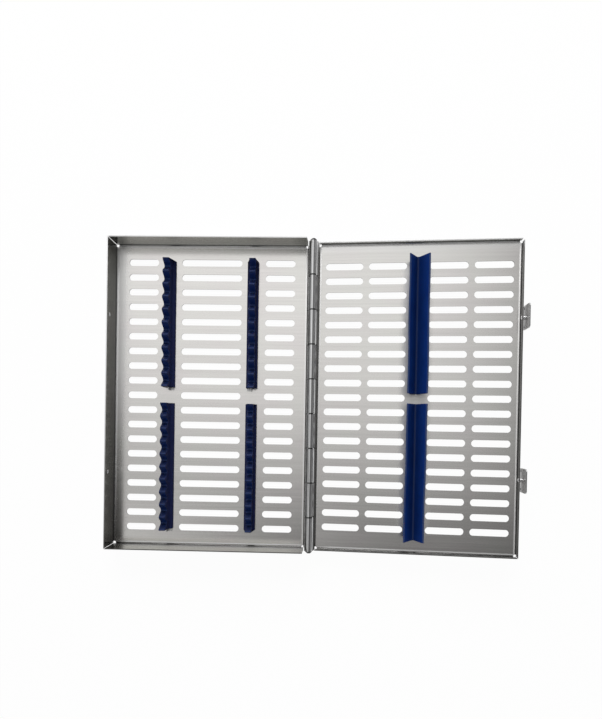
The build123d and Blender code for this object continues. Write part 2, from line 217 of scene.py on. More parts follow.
# --- hold-down bars -------------------------------------------------------------------
BAR_HEIGHT = 16.5 * MM
BAR_HALF_SPAN = 9.4 * MM
BAR_HALF_STEM = 4.5 * MM
BAR_SHOULDER = 5.2 * MM
BAR_VALLEY = 4.2 * MM
BAR_TIP = 1.4 * MM
BAR_POCKET_HEIGHT = 3.0 * MM
BAR_POCKET_FOOT = 3.1 * MM
SHOULDER_ROUNDING = 0.8 * MM
TIP_ROUNDING = 0.45 * MM
VALLEY_ROUNDING = 1.5 * MM
BAR_ROUND_STEPS = 5
BAR_CHAMFER = 0.3 * MM           # at its ends
BAR_STEPS = 48                   # sections along a bar
BAR_LEAN = {"rear": (0.6 * MM, 0.6 * MM), "front": (-0.9 * MM, 0.6 * MM)}   # at -Y and +Y end
BAR_SWAY = 0.18 * MM
BAR_SWAYS = 1.6
BAR_PINCH = 0.004                # the share by which its width varies
BAR_PINCHES = 7.0                # radians of that wave along a bar
WING = (1.0 * MM, 9.0 * MM)      # from the bar's middle; the wings are painted darker near the valley and lighter outwards
WING_LEVELS = (0.75, 1.35)       # beside the valley and near the edges
# a painted highlight along the valley line and on the edges
VALLEY_LINE = (0.3 * MM, 1.1 * MM)
BAR_VALLEY_COLOR = (0.016, 0.026, 0.075)
BAR_EDGE_COLOR = (0.030, 0.050, 0.130)
BAR_EDGE = 0.5 * MM              # depth of the edges, below the bar's height
BAR_INSIDE = 0.3                 # Z of the normals inside the V

# --- latches, rivets and studs --------------------------------------------------------
LATCH_STANDOFF = 1.4 * MM        # between the lid's wall and a latch plate
LATCH_SHEET = 1.0 * MM
FIT = 0.05 * MM                  # play between a rivet and its latch plate
RIVET_RADIUS = 1.2 * MM
RIVET_SHOULDER = 1.9 * MM
RIVET_HEAD = (2.3 * MM, 1.1 * MM)     # radius and height
RIVET_TAIL = (1.8 * MM, 0.7 * MM)
STUD_RADIUS = 0.9 * MM
STUD_TIP = (1.25 * MM, 0.9 * MM)
STUD_TIP_DOME = 0.5 * MM         # height of the tip's round end
STUD_HEAD = (1.8 * MM, 0.6 * MM)
DOME_STEPS = 6
DOME_TIP = 0.03                  # radius of a dome's last ring, as a share of its own radius
TURNED_FACETS = 40

# --- meshes ---------------------------------------------------------------------------
SAME_PLACE = 1e-7                # points this close are merged
SHARP_ANGLE = radians(35.0)      # edges with a larger angle stay sharp

# --- floor, light and camera ----------------------------------------------------------
FLOOR_HALF = 6.0
FLOOR_BELOW = 0.2 * MM
FLOOR_LEVEL = 0.86
FLOOR_WHITE = 0.96               # share of plain white in what the camera and mirrors see
# brightness of the world by the Y and X of the direction, from -1 to 1
LIGHT_ALONG_Y = ((-1.0, 0.45), (-0.5, 0.26), (-0.34, 0.26), (-0.22, 0.15), (-0.16, 0.33),
                 (-0.08, 0.54), (0.02, 0.74), (0.12, 0.90), (0.22, 0.95), (0.36, 0.97),
                 (0.6, 0.5), (1.0, 0.5))
LIGHT_ALONG_X = ((-1.0, 0.35), (-0.6, 0.40), (-0.42, 1.0), (0.0, 1.0), (0.14, 0.86),
                 (0.24, 0.50), (0.34, 0.16), (0.55, 0.14), (0.8, 0.35), (1.0, 0.4))
CORNER_LIGHT = 3.7               # a brighter patch to the front and left
CORNER_LIGHT_X = (-0.36, -0.05)
CORNER_LIGHT_FRONT = (-0.32, -0.26)  # its front and rear limits, by Y
CORNER_LIGHT_REAR = (-0.20, -0.13)
ROOM_LEVEL = 0.12                # nothing is darker than this
HORIZON = (0.36, 0.52)           # Z of the directions up to which the surroundings are pale
HORIZON_LEVEL = 0.9
WINDOW_PLACE = (-0.1, 2.0, 1.2)
WINDOW_AIM = (0.1, 0.0, 0.0)
WINDOW_SIZE = 1.4
WINDOW_POWER = 55.0
CAMERA_PLACE = (0.098757, -0.027398, 0.484056)
CAMERA_TURN = (-0.011701, 0.025507, 0.016655)
CAMERA_LENS = 25.594
CAMERA_SENSOR = 36.0
CAMERA_SHIFT = 0.10154


# --- small helpers for node materials -------------------------------------------------
def add_node(tree, kind, values=None, **settings):
    """A node with its settings and its unlinked input values."""
    made = tree.nodes.new(kind)
    for name, value in settings.items():
        setattr(made, name, value)
    for name, value in (values or {}).items():
        made.inputs[name].default_value = value
    return made


def link(tree, *pairs):
    """Link each (output, input) pair."""
    for output, socket in pairs:
        tree.links.new(output, socket)


def fill(tree, socket, operand):
    """Link a socket to the operand, or set it to the operand's number or colour."""
    if isinstance(operand, bpy.types.NodeSocket):
        tree.links.new(operand, socket)
    else:
        socket.default_value = (*operand, 1.0) if isinstance(operand, tuple) else operand


def grey(level):
    return (level, level, level)


def noise(tree, place, scale, detail, roughness=0.5):
    """The noise texture's value at a place."""
    made = add_node(tree, "ShaderNodeTexNoise",
                    {"Scale": scale, "Detail": detail, "Roughness": roughness})
    tree.links.new(place, made.inputs["Vector"])
    return made.outputs["Fac"]


def stretched(tree, place, scale):
    """A place scaled along X, Y and Z."""
    made = add_node(tree, "ShaderNodeMapping", {"Scale": scale})
    tree.links.new(place, made.inputs["Vector"])
    return made.outputs["Vector"]


def greys(level, stops):
    """Ramp stops of grey from (position, share of level)."""
    return [(position, grey(level * share)) for position, share in stops]


def ramp(tree, factor, stops):
    """A colour ramp of (position, colour) stops, driven by factor."""
    made = tree.nodes.new("ShaderNodeValToRGB")
    elements = made.color_ramp.elements
    while len(elements) < len(stops):
        elements.new(0.5)
    for element, (position, color) in zip(elements, stops):
        element.position = position
        element.color = (*color, 1.0)
    tree.links.new(factor, made.inputs["Fac"])
    return made.outputs["Color"]


def spread(tree, factor, low, high, from_low=0.0, from_high=1.0):
    """Map factor to the range from low to high."""
    made = add_node(tree, "ShaderNodeMapRange",
                    {"From Min": from_low, "From Max": from_high, "To Min": low, "To Max": high})
    tree.links.new(factor, made.inputs["Value"])
    return made.outputs["Result"]


def falling(tree, value, limits):
    """1 up to the first limit and 0 from the second."""
    return spread(tree, value, 1.0, 0.0, *limits)


def rising(tree, value, limits):
    """0 up to the first limit and 1 from the second."""
    return spread(tree, value, 0.0, 1.0, *limits)


def calc(tree, operation, *operands, clamp=False):
    """The result of a Math node; each operand is a socket or a number."""
    made = add_node(tree, "ShaderNodeMath", operation=operation, use_clamp=clamp)
    for socket, operand in zip(made.inputs, operands):
        fill(tree, socket, operand)
    return made.outputs[0]


def product(tree, *factors):
    """The product of several sockets or numbers."""
    result = factors[0]
    for factor in factors[1:]:
        result = calc(tree, "MULTIPLY", result, factor)
    return result


def distance(tree, value, centre):
    """How far value is from centre."""
    return calc(tree, "ABSOLUTE", calc(tree, "SUBTRACT", value, centre))


def inverse(tree, mask):
    return calc(tree, "SUBTRACT", 1.0, mask)


def within(tree, value, low, high):
    """1 where value lies between low and high, else 0."""
    return product(tree, calc(tree, "GREATER_THAN", value, low),
                   calc(tree, "LESS_THAN", value, high))


def blended(tree, factor, first, second, blend="MIX"):
    """The colour first, blended with second by factor; each is a socket or a constant."""
    made = add_node(tree, "ShaderNodeMix", data_type="RGBA", blend_type=blend)
    for socket, operand in zip((made.inputs[0], made.inputs[6], made.inputs[7]),
                               (factor, first, second)):
        fill(tree, socket, operand)
    return made.outputs[2]


def tinted(tree, color, other):
    """The product of two colours."""
    return blended(tree, 1.0, color, other, "MULTIPLY")


def shaded(tree, color, mask, factor):
    """The colour multiplied by factor where mask is 1."""
    return blended(tree, mask, color, grey(factor), "MULTIPLY")


def principled(name, **values):
    """A new material; underscores in the value names stand for spaces."""
    material = bpy.data.materials.new(name)
    material.use_nodes = True
    shader = material.node_tree.nodes["Principled BSDF"]
    for key, value in values.items():
        shader.inputs[key.replace("_", " ").title().replace("Ior", "IOR")].default_value = value
    return material, material.node_tree, shader


def turned_place(tree, tilt):
    """Object coordinates, plain and turned by tilt about Y, and X, Y and Z of the turned
    coordinates and of the turned normal.
    """
    place = add_node(tree, "ShaderNodeTexCoord")
    sockets = []
    for output in ("Object", "Normal"):
        turn = add_node(tree, "ShaderNodeVectorRotate", {"Angle": tilt}, rotation_type="Y_AXIS")
        split = add_node(tree, "ShaderNodeSeparateXYZ")
        link(tree, (place.outputs[output], turn.inputs["Vector"]),
             (turn.outputs["Vector"], split.inputs["Vector"]))
        sockets.append((turn.outputs["Vector"], split.outputs))
    (flat, where), (_, facing) = sockets
    return place.outputs["Object"], flat, where, facing


def relief(tree, height, strength, depth):
    """The normal of a fine relief."""
    bump = add_node(tree, "ShaderNodeBump", {"Strength": strength, "Distance": depth})
    tree.links.new(height, bump.inputs["Height"])
    return bump.outputs["Normal"]


def finish_shader(tree, shader, color, rough, normal):
    """Link what the material's nodes have made to its shader."""
    link(tree, (color, shader.inputs["Base Color"]), (rough, shader.inputs["Roughness"]),
         (normal, shader.inputs["Normal"]))


# --- brushed sheet --------------------------------------------------------------------
def tray_zones(tree, where, facing, middle, floor, rim):
    """Distances on a tray and masks of its parts, each a socket.

    Turned by its tilt, the tray has its middle at X = middle, the top of its floor at
    Z = floor and its sheared edges at Z = rim.
    """
    zone = SimpleNamespace()
    zone.from_side = calc(tree, "SUBTRACT", TRAY_HALF_WIDTH, distance(tree, where["X"], middle))
    zone.from_end = calc(tree, "SUBTRACT", TRAY_HALF_LENGTH,
                         calc(tree, "ABSOLUTE", where["Y"]))
    zone.near = calc(tree, "MINIMUM", zone.from_side, zone.from_end)
    zone.height = calc(tree, "SUBTRACT", where["Z"], floor)
    # which way the surface faces
    zone.sideways = calc(tree, "GREATER_THAN", calc(tree, "ABSOLUTE", facing["X"]), SIDEWAYS)
    zone.upward = calc(tree, "GREATER_THAN", facing["Z"], UPRIGHT)
    upright = within(tree, facing["Z"], -UPRIGHT, UPRIGHT)
    # parts of the tray
    zone.inner_wall = product(tree, upright, within(tree, zone.near, *WALL_FACE))
    zone.side_wall = product(tree, zone.inner_wall, zone.sideways)
    zone.front_wall = product(tree, zone.inner_wall,
                              calc(tree, "GREATER_THAN", facing["Y"], REARWARD))
    zone.cut_edge = product(tree, zone.upward,
                            within(tree, where["Z"], *(rim + limit for limit in RIM_FACE)))
    zone.slot_edge = product(tree, upright, within(tree, zone.height, *SLOT_FACE),
                             calc(tree, "GREATER_THAN", zone.near, SLOTS_FROM_WALL))
    # strips of the floor beside the left and the rear wall
    zone.behind = calc(tree, "GREATER_THAN", where["Y"], 0.0)
    zone.beside = calc(tree, "LESS_THAN", zone.from_side, zone.from_end)
    left_strip = product(tree, zone.upward, calc(tree, "LESS_THAN", where["X"], middle),
                         falling(tree, zone.from_side, LEFT_STRIP))
    zone.lit_left = product(tree, left_strip, rising(tree, where["Y"], LEFT_STRIP_LIT))
    zone.rear_strip = product(tree, zone.upward, zone.behind,
                              falling(tree, zone.from_end, REAR_STRIP))
    # the folds; the crease's painted highlight doesn't show where the left strip is dim
    on_floor = product(tree, zone.upward, within(tree, zone.height, *FLOOR_FACE))
    fold = calc(tree, "MULTIPLY_ADD", zone.beside, END_FOLD_SHIFT,
                calc(tree, "SUBTRACT", zone.near, END_FOLD_SHIFT))
    zone.crease = product(tree, on_floor, rising(tree, fold, CREASE_START),
                          falling(tree, fold, CREASE_END),
                          inverse(tree, calc(tree, "SUBTRACT", left_strip, zone.lit_left)))
    zone.gutter = product(tree, on_floor, falling(tree, fold, GUTTER))
    return zone


def wall_shading(tree, tone, zone, facing, side_tone):
    """Painted shade on the walls: a tone by the way each wall faces, and darker feet and corners.
    """
    wall_tone = calc(tree, "MULTIPLY_ADD", facing["Y"], WALL_LEAN, WALL_TONE)
    wall_color = tinted(tree, tone, blended(tree, wall_tone, (0.0, 0.0, 0.0), WALL_TINT))
    tone = blended(tree, zone.inner_wall, tone, wall_color)
    from_corner = calc(tree, "MAXIMUM", zone.from_side, zone.from_end)
    lower = falling(tree, zone.height, LOWER_WALL)
    for wall, fade, factor in (
            (zone.inner_wall, falling(tree, from_corner, CORNER), CORNER_TONE),
            (zone.inner_wall, falling(tree, zone.height, FOOT), FOOT_TONE),
            (zone.inner_wall, lower, LOWER_WALL_TONE),
            (zone.front_wall, falling(tree, zone.height, FRONT_FOOT), FRONT_FOOT_TONE),
            (zone.side_wall, 1.0, side_tone),
            (zone.side_wall, lower, LOWER_SIDE_TONE)):
        tone = shaded(tree, tone, product(tree, wall, fade), factor)
    return tone


def floor_shading(tree, tone, zone, matt_and_lit_side):
    """Painted highlights on creases beside painted shade in gutters, painted shade on cut edges,
    paler strips.
    """
    frontal = product(tree, inverse(tree, zone.beside), inverse(tree, zone.behind))
    tone = blended(tree, zone.crease, tone,
                   blended(tree, frontal, CREASE_HIGHLIGHT_COLOR, grey(FRONT_CREASE_HIGHLIGHT)))
    tone = shaded(tree, tone, zone.gutter, GUTTER_TONE)
    tone = shaded(tree, tone, zone.cut_edge, CUT_EDGE_TONE)
    tone = shaded(tree, tone, zone.slot_edge, SLOT_EDGE_TONE)
    # painted light: the left and rear strips are painted paler
    paler = calc(tree, "MAXIMUM", product(tree, zone.lit_left, matt_and_lit_side * PALER_PER_MATT),
                 product(tree, zone.rear_strip, REAR_STRIP_PALER))
    return blended(tree, paler, tone, grey(STRIP_LEVEL))


def sheet_roughness(tree, zone, where, lines, clouds, matt_and_lit_side, handled):
    """Roughness from brush lines and clouds, more at cut edges, creases and dull strips."""
    rough = calc(tree, "ADD", spread(tree, lines, -ROUGHNESS_PLAY, ROUGHNESS_PLAY),
                 spread(tree, clouds, SHEET_ROUGHNESS - ROUGHNESS_PLAY,
                        SHEET_ROUGHNESS + ROUGHNESS_PLAY))
    added = [(zone.cut_edge, EDGE_MATT), (zone.crease, CREASE_MATT),
             (zone.lit_left, matt_and_lit_side), (zone.rear_strip, REAR_MATT)]
    if handled is not None:
        touched = product(tree, zone.upward,
                          falling(tree, distance(tree, where["X"], handled), HANDLED_STRIP),
                          rising(tree, zone.from_end, HANDLED_ENDS))
        added.append((touched, HANDLED_MATT))
    for mask, amount in added:
        rough = calc(tree, "MULTIPLY_ADD", mask, amount, rough)
    return rough


def lean_inwards(tree, normal, zone, where, middle, matt_and_lit_side):
    """Near a fold the floor already curves up, so its normal leans towards the tray's middle."""
    lean = add_node(tree, "ShaderNodeCombineXYZ")
    inward = calc(tree, "SIGN", calc(tree, "SUBTRACT", middle, where["X"]))
    across = product(tree, zone.crease, zone.beside, inward, SIDE_CREASE_LEAN)
    across = calc(tree, "MULTIPLY_ADD", zone.lit_left, matt_and_lit_side * LEAN_PER_MATT, across)
    along = product(tree, zone.crease, inverse(tree, zone.beside),
                    calc(tree, "SIGN", where["Y"]), -END_CREASE_LEAN)
    along = calc(tree, "MULTIPLY_ADD", zone.rear_strip, -REAR_STRIP_LEAN, along)
    to_world = add_node(tree, "ShaderNodeVectorTransform", vector_type="VECTOR",
                        convert_from="OBJECT", convert_to="WORLD")
    total = add_node(tree, "ShaderNodeVectorMath", operation="ADD")
    unit = add_node(tree, "ShaderNodeVectorMath", operation="NORMALIZE")
    link(tree, (across, lean.inputs["X"]), (along, lean.inputs["Y"]),
         (lean.outputs["Vector"], to_world.inputs["Vector"]),
         (normal, total.inputs[0]), (to_world.outputs["Vector"], total.inputs[1]),
         (total.outputs["Vector"], unit.inputs["Vector"]))
    return unit.outputs["Vector"]


def brushed_steel(name, level, middle, floor, rim, tilt=0.0, side_tone=1.0, matt_and_lit_side=0.0,
                  handled=None):
    """Sheet steel brushed along X before it was folded, so side walls are brushed along Z.

    The tray's middle, floor and rim are given as for tray_zones; side_tone is painted shade on
    the side walls. The floor beside the left wall is duller by matt_and_lit_side and painted
    paler with it, as painted light, and handling has made it duller along X = handled.
    """
    material, tree, shader = principled(name, metallic=1.0)
    whole, flat, where, facing = turned_place(tree, tilt)
    zone = tray_zones(tree, where, facing, middle, floor, rim)
    grain = add_node(tree, "ShaderNodeMix", data_type="VECTOR")
    link(tree, (zone.sideways, grain.inputs["Factor"]),
         (stretched(tree, flat, GRAIN_ALONG_X), grain.inputs["A"]),
         (stretched(tree, flat, GRAIN_ALONG_Z), grain.inputs["B"]))
    lines = noise(tree, grain.outputs["Result"], scale=1.0, detail=5.0, roughness=0.55)
    clouds = noise(tree, whole, scale=26.0, detail=4.0, roughness=0.6)
    hue = ramp(tree, noise(tree, whole, scale=28.0, detail=3.0), SHEET_HUES)
    tone = ramp(tree, lines, greys(level, ((0.25, 1 - STREAK), (0.75, 1 + STREAK))))
    tone = wall_shading(tree, tinted(tree, tone, hue), zone, facing, side_tone)
    tone = floor_shading(tree, tone, zone, matt_and_lit_side)
    rough = sheet_roughness(tree, zone, where, lines, clouds, matt_and_lit_side, handled)
    fine_lines = relief(tree, lines, strength=0.1, depth=LINE_DEPTH)
    normal = lean_inwards(tree, fine_lines, zone, where, middle, matt_and_lit_side)
    finish_shader(tree, shader, tone, rough, normal)
    return material


# --- small steel parts and silicone ---------------------------------------------------
def drawn_steel(name, level, roughness, smudge=0.06, marks_and_light=None):
    """Small steel parts: fine drawn lines along Y and faint smudges.

    marks_and_light(tree, tone, rough, place) returns colour and roughness with the part's own
    marks and its painted highlights and shade.
    """
    material, tree, shader = principled(name, metallic=1.0)
    place = add_node(tree, "ShaderNodeTexCoord").outputs["Object"]
    lines = noise(tree, stretched(tree, place, DRAWN_GRAIN), scale=1.0, detail=4.0)
    tone = ramp(tree, lines, greys(level, DRAWN_TONES))
    rough = spread(tree, noise(tree, place, scale=90.0, detail=5.0), roughness - smudge,
                   roughness + smudge)
    if marks_and_light:
        tone, rough = marks_and_light(tree, tone, rough, place)
    finish_shader(tree, shader, tone, rough,
                  relief(tree, lines, strength=0.2, depth=LINE_DEPTH))
    return material


def hinge_sheen_and_seams(tree, tone, rough, place):
    """A painted highlight along the barrel with painted shade beside it and on the leaves, and
    seams.
    """
    split = add_node(tree, "ShaderNodeSeparateXYZ")
    link(tree, (place, split.inputs["Vector"]))
    x, y = split.outputs["X"], split.outputs["Y"]
    off_crest = distance(tree, x, HINGE.x - CREST_FROM_AXIS)
    tone = shaded(tree, tone, rising(tree, off_crest, CREST), OFF_CREST_TONE)
    leaf = calc(tree, "LESS_THAN", x, HINGE.x - LEAF_FROM_AXIS)
    tone = shaded(tree, tone, leaf, LEAF_TONE)
    rough = calc(tree, "ADD", rough, spread(tree, off_crest, 0.0, OFF_CREST_MATT, *OFF_CREST))
    along = spread(tree, y, 0.0, KNUCKLES, -BARREL_LENGTH / 2, BARREL_LENGTH / 2)
    from_seam = calc(tree, "PINGPONG", along, 0.5)
    seam = calc(tree, "LESS_THAN", from_seam, HALF_SEAM * KNUCKLES / BARREL_LENGTH)
    return shaded(tree, tone, seam, SEAM_TONE), rough


def silicone(name, dark, light, roughness, specular, tilt, marks_and_light):
    """Moulded silicone: matt skin with fine grain and long faint draw lines.

    marks_and_light(tree, tone, where, facing) returns the colour with the part's own marks and
    its painted highlights and shade.
    """
    material, tree, shader = principled(name, specular_ior_level=specular,
                                        subsurface_weight=0.15, subsurface_scale=0.002)
    whole, _, where, facing = turned_place(tree, tilt)
    draw = noise(tree, stretched(tree, whole, MOULD_GRAIN), scale=1.0, detail=3.0)
    patches = noise(tree, whole, scale=70.0, detail=4.0)
    skin = noise(tree, whole, scale=2600.0, detail=3.0)
    mixed = calc(tree, "MULTIPLY_ADD", draw, 0.5, patches)
    tone = ramp(tree, mixed, [(0.45, dark), (1.0, light)])
    rough = spread(tree, patches, roughness - SKIN_PLAY, roughness + SKIN_PLAY)
    finish_shader(tree, shader, marks_and_light(tree, tone, where, facing), rough,
                  relief(tree, skin, strength=0.3, depth=SKIN_DEPTH))
    return material


def rail_sheen_and_shade(tree, tone, where, facing):
    """Painted highlights on crests and seat bottoms; painted shade on rear slopes, sides and
    flange.
    """
    slope = rising(tree, facing["Y"], RAIL_SLOPE)
    wave = tinted(tree, tone, blended(tree, slope, *map(grey, RAIL_SLOPE_LEVELS)))
    off_crest = calc(tree, "PINGPONG",
                     calc(tree, "SUBTRACT", calc(tree, "ABSOLUTE", where["Y"]), FIRST_CREST),
                     SEAT_PITCH / 2)
    off_bottom = calc(tree, "SUBTRACT", SEAT_PITCH / 2, off_crest)
    wave = blended(tree, falling(tree, off_crest, RAIL_CREST), wave, RAIL_CREST_COLOR)
    wave = blended(tree, falling(tree, off_bottom, SEAT_BOTTOM), wave, SEAT_BOTTOM_COLOR)
    tooth_x, tooth_y = PALE_TOOTH
    pale_tooth = product(tree,
                   falling(tree, distance(tree, where["Y"], tooth_y), PALE_TOOTH_ALONG),
                   falling(tree, where["X"], [tooth_x + limit for limit in PALE_TOOTH_ACROSS]))
    wave = blended(tree, pale_tooth, wave, PALE_TOOTH_COLOR)
    side = calc(tree, "GREATER_THAN", calc(tree, "ABSOLUTE", facing["X"]), RAIL_SIDEWAYS)
    low = calc(tree, "LESS_THAN", where["Z"], SHEET + RAIL_FLANGE + FLANGE_MARGIN)
    return blended(tree, calc(tree, "MAXIMUM", side, low), wave, RAIL_SIDE_COLOR)


def bar_sheen_and_shade(tree, tone, where, facing):
    """Painted shade on the wings near the valley; painted highlights on valley line and edges."""
    across = distance(tree, where["X"], BAR_MIDDLE)
    inside = calc(tree, "GREATER_THAN", facing["Z"], BAR_INSIDE)
    wings = tinted(tree, tone, blended(tree, rising(tree, across, WING),
                                       *map(grey, WING_LEVELS)))
    wings = blended(tree, inside, tone, wings)
    valley = product(tree, inside, falling(tree, across, VALLEY_LINE))
    above = calc(tree, "SUBTRACT", where["Z"], LID_FLOOR)
    edges = calc(tree, "GREATER_THAN", above, BAR_HEIGHT - BAR_EDGE)
    return blended(tree, edges, blended(tree, valley, wings, BAR_VALLEY_COLOR), BAR_EDGE_COLOR)


# side_tone is painted shade on the side walls
base_steel = brushed_steel("base_sheet", level=0.765, middle=0.0, floor=SHEET, rim=BASE_RIM,
                           side_tone=0.72, matt_and_lit_side=0.20)
lid_steel = brushed_steel("lid_sheet", level=0.72, middle=AXIS_ACROSS + LID_MIDDLE_FROM_AXIS,
                          floor=LID_FLOOR, rim=AXIS_UP - LID_RIM_BELOW_AXIS, tilt=LID_TILT,
                          side_tone=0.45, handled=BAR_MIDDLE)
hinge_steel = drawn_steel("hinge_steel", level=0.92, roughness=0.16, smudge=0.02,
                          marks_and_light=hinge_sheen_and_seams)
latch_steel = drawn_steel("latch_steel", level=0.40, roughness=0.36)
bracket_steel = drawn_steel("bracket_steel", level=0.55, roughness=0.30)
rivet_steel = drawn_steel("rivet_steel", level=0.80, roughness=0.30)
rail_silicone = silicone("rail_silicone", dark=(0.0035, 0.014, 0.080),
                         light=(0.0055, 0.020, 0.110), roughness=0.55, specular=0.10, tilt=0.0,
                         marks_and_light=rail_sheen_and_shade)
bar_silicone = silicone("bar_silicone", dark=(0.0016, 0.014, 0.092),
                        light=(0.0030, 0.021, 0.125), roughness=0.60, specular=0.06,
                        tilt=LID_TILT, marks_and_light=bar_sheen_and_shade)

finishes = {"base_tray": base_steel, "lid_panel": lid_steel, "hinge_leaf_base": hinge_steel,
            "hinge_leaf_lid": hinge_steel, "hinge_pin": hinge_steel}
for end_name in ENDS:
    finishes[f"latch_plate_{end_name}"] = latch_steel
    finishes[f"holddown_bracket_{end_name}"] = bracket_steel
    for side_name in SIDES:
        finishes[f"rail_bracket_{end_name}_{side_name}"] = bracket_steel
for node, finish in finishes.items():
    frame["nodes"][node].material_slots[0].material = finish


# --- mesh helpers ---------------------------------------------------------------------
def rounded(corners, steps):
    """The outline through corners of (x, y, radius), each rounded by an arc of that radius."""
    points = []
    count = len(corners)
    for i, (x, y, radius) in enumerate(corners):
        if radius == 0:
            points.append((x, y))
            continue
        here = Vector((x, y))
        back = (Vector(corners[i - 1][:2]) - here).normalized()
        ahead = (Vector(corners[(i + 1) % count][:2]) - here).normalized()
        half = back.angle(ahead) / 2
        centre = here + (back + ahead).normalized() * radius / sin(half)
        start = here + back * radius / tan(half) - centre
        end = here + ahead * radius / tan(half) - centre
        turn = start.angle_signed(end)
        for k in range(steps + 1):
            arm = start.copy()
            arm.rotate(Matrix.Rotation(-turn * k / steps, 2))
            points.append(tuple(centre + arm))
    return points


def inset(points, depth):
    """The closed outline moved inwards by depth; the outline runs counter-clockwise."""
    moved = []
    count = len(points)
    for i in range(count):
        before = Vector(points[i]) - Vector(points[i - 1])
        after = Vector(points[(i + 1) % count]) - Vector(points[i])
        normals = [Vector((-edge.y, edge.x)).normalized() for edge in (before, after)]
        middle = (normals[0] + normals[1]).normalized()
        shift = middle * depth / max(middle.dot(normals[0]), 0.5)
        moved.append(tuple(Vector(points[i]) + shift))
    return moved


def loft(name, rings, material):
    """A closed mesh through rings of equally many points, with both ends capped."""
    mesh = bmesh.new()
    rows = [[mesh.verts.new(point) for point in ring] for ring in rings]
    count = len(rows[0])
    for row, following in zip(rows, rows[1:]):
        for i in range(count):
            j = (i + 1) % count
            mesh.faces.new((row[i], row[j], following[j], following[i]))
    caps = [mesh.faces.new(list(reversed(rows[0]))), mesh.faces.new(rows[-1])]
    bmesh.ops.triangulate(mesh, faces=caps)
    bmesh.ops.remove_doubles(mesh, verts=mesh.verts, dist=SAME_PLACE)
    bmesh.ops.dissolve_degenerate(mesh, dist=SAME_PLACE, edges=mesh.edges)
    bmesh.ops.recalc_face_normals(mesh, faces=mesh.faces)
    data = bpy.data.meshes.new(name)
    mesh.to_mesh(data)
    mesh.free()
    data.shade_smooth()
    data.set_sharp_from_angle(angle=SHARP_ANGLE)
    data.materials.append(material)
    made = bpy.data.objects.new(name, data)
    bpy.context.scene.collection.objects.link(made)
    return made


def stand_in(piece, body, node_name):
    """The piece moves with its body and is shown instead of the plain solid."""
    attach(piece, body)
    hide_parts(node_name)


def turned(name, origin, axis, outline, material):
    """A turned piece: an outline of (along, radius) revolved about the axis from origin."""
    to_axis = Vector(axis).normalized().to_track_quat("Z", "Y").to_matrix()
    rings = []
    for along, radius in outline:
        ring = []
        for k in range(TURNED_FACETS):
            angle = 2 * pi * k / TURNED_FACETS
            point = Vector((radius * cos(angle), radius * sin(angle), along))
            ring.append(Vector(origin) + to_axis @ point)
        rings.append(ring)
    return loft(name, rings, material)


def dome(start, radius, height):
    """Points of a domed end from (start, radius) almost to the axis."""
    ball = (radius ** 2 + height ** 2) / (2 * height)
    centre = start + height - ball
    full = atan2(radius, start - centre)
    points = []
    for k in range(DOME_STEPS):
        angle = full * (1 - k / DOME_STEPS)
        points.append((centre + ball * cos(angle), ball * sin(angle)))
    return points + [(start + height, DOME_TIP * radius)]


def underside(half_width, pocket_height, pocket_foot):
    """Corners under a rail or bar, with the pocket for its bracket's web and foot."""
    return [(-half_width, 0, FOOT_ROUNDING), (-POCKET_HALF, 0, 0),
            (-POCKET_HALF, pocket_height, 0), (POCKET_HALF, pocket_height, 0),
            (POCKET_HALF, POCKET_FOOT_HEIGHT, 0), (pocket_foot, POCKET_FOOT_HEIGHT, 0),
            (pocket_foot, 0, 0), (half_width, 0, FOOT_ROUNDING)]


# --- instrument rails -----------------------------------------------------------------
def comb_outline(low, high, top):
    """(y, height) points along a comb's top, a wave with a seat in each trough."""
    middle = (low + high) / 2
    half = SEAT_COUNT * SEAT_PITCH / 2
    steps = SEAT_STEPS * SEAT_COUNT
    points = [(low, top)]
    for i in range(steps + 1):
        along = SEAT_COUNT * i / steps
        points.append((middle - half + SEAT_PITCH * along,
                       top - SEAT_DEPTH * (0.5 - 0.5 * cos(2 * pi * along))))
    points.append((high, top))
    return points


def rail_section(top, half_flange):
    """Section of a rail across its length: flange, comb and the pocket for its bracket."""
    half, flange = RAIL_HALF_TOP, RAIL_FLANGE
    corners = underside(half_flange, RAIL_POCKET_HEIGHT, RAIL_POCKET_FOOT)
    corners += [(half_flange, flange, FLANGE_ROUNDING), (half, flange, NECK_ROUNDING),
                (half, RAIL_KNEE, 0), (half, top, COMB_ROUNDING),
                (-half, top, COMB_ROUNDING), (-half, RAIL_KNEE, 0),
                (-half, flange, NECK_ROUNDING), (-half_flange, flange, FLANGE_ROUNDING)]
    return rounded(corners, RAIL_ROUND_STEPS)


def instrument_rail(end, side):
    """A comb of silicone that leans a little, pushed on to its bracket."""
    node_name = f"instrument_rail_{end}_{side}"
    low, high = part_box(node_name)
    centre = (low.x + high.x) / 2
    half_flange = (high.x - low.x) / 2
    inward = 1 if side == "left" else -1
    lean = RAIL_LEAN[f"{end}_{side}"]
    phase = random.Random(node_name).uniform(0, 2 * pi)
    first, *others, last = comb_outline(low.y, high.y, high.z - low.z)
    stations = [(first, RAIL_CHAMFER, 0.0), (first, 0.0, RAIL_CHAMFER)]
    stations += [(point, 0.0, 0.0) for point in others]
    stations += [(last, 0.0, -RAIL_CHAMFER), (last, RAIL_CHAMFER, 0.0)]
    rings = []
    for (y, top), shrink, shift in stations:
        section = rail_section(top, half_flange)
        if shrink:
            section = inset(section, shrink)
        sway = RAIL_SWAY * sin(2 * pi * (y - low.y) / (high.y - low.y) * RAIL_SWAYS + phase)
        ring = []
        for i, (x, z) in enumerate(section):
            leaning = 0.0 if i in POCKET_POINTS else (lean + sway) * min(z / RAIL_KNEE, 1.0)
            ring.append((centre + inward * x + leaning, y + shift, low.z + z))
        rings.append(ring)
    rail = loft(f"rail_{end}_{side}", rings, rail_silicone)
    stand_in(rail, "base", node_name)


